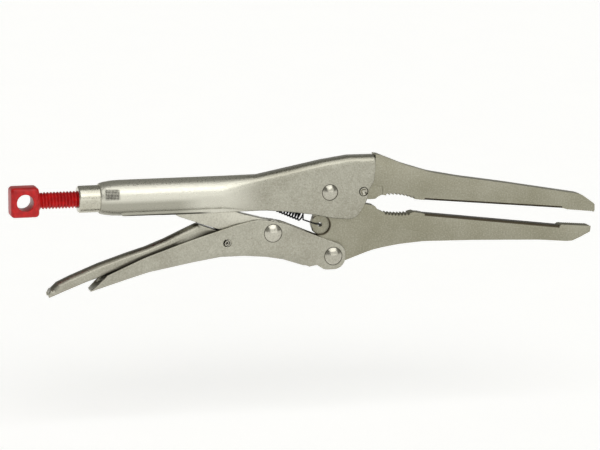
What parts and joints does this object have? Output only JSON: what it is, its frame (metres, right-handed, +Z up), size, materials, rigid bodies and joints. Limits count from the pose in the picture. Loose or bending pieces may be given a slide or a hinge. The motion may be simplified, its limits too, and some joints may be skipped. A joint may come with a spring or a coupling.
{
  "type": "long-nose locking pliers",
  "caption": "Long straight-nosed locking pliers with a toothed pipe grip, toggle-locked handle, release lever and a red square-headed adjusting screw.",
  "frame": {"origin": "centre of the bounding box, at its lowest level", "axes": "+X along the tool towards the jaw tips, +Z up from the moving handle to the fixed handle, Y across the thickness"},
  "size_m": [0.3482, 0.0206, 0.076],
  "materials": {
    "satin_nickel": "satin nickel plate on pressed steel",
    "jaw_nickel": "tumbled matte nickel on forged steel",
    "rivet_steel": "polished headed steel",
    "red_lacquer": "red lacquer over a rolled thread",
    "spring_black": "oiled black spring wire"
  },
  "bodies": {
    "fixed_handle": {"handle_shell": "satin_nickel", "barrel_nut": "satin_nickel", "fixed_jaw": "jaw_nickel", "cutter_insert": "jaw_nickel", "cutter_pin": "rivet_steel", "pivot_rivet": "rivet_steel", "tension_spring": "spring_black"},
    "moving_jaw": {"lower_jaw": "jaw_nickel"},
    "moving_handle": {"lower_handle": "satin_nickel", "jaw_rivet": "rivet_steel", "link_rivet": "rivet_steel", "lever_pin": "rivet_steel"},
    "toggle": {"toggle_link": "jaw_nickel"},
    "release": {"release_lever": "satin_nickel"},
    "screw": {"adjusting_screw": "red_lacquer"}
  },
  "joints": [
    {"name": "jaw_swing", "type": "hinge", "parent": "fixed_handle", "child": "moving_jaw", "pos_m": [0.0121, 0, 0.055], "axis": [0, 1, 0], "range_deg": [0, 16.1], "deforming": ["tension_spring"]},
    {"name": "handle_swing", "type": "hinge", "parent": "moving_jaw", "child": "moving_handle", "pos_m": [0.0141, 0, 0.0175], "axis": [0, -1, 0], "range_deg": [0, 48.5]},
    {"name": "toggle_swing", "type": "hinge", "parent": "moving_handle", "child": "toggle", "pos_m": [-0.0218, 0, 0.0325], "axis": [0, 1, 0], "range_deg": [0, 54.1]},
    {"name": "lever_press", "type": "hinge", "parent": "moving_handle", "child": "release", "pos_m": [-0.0489, 0, 0.0278], "axis": [0, -1, 0], "range_deg": [0, 2.2]},
    {"name": "screw_turn", "type": "hinge", "parent": "fixed_handle", "child": "screw", "pos_m": [-0.1379, 0, 0.0559], "axis": [1, 0, 0], "continuous": true}
  ],
  "couplings": [
    {"joint": "jaw_swing", "follows": "handle_swing", "ratio": 0.32942},
    {"joint": "toggle_swing", "follows": "handle_swing", "ratio": 1.1137}
  ]
}
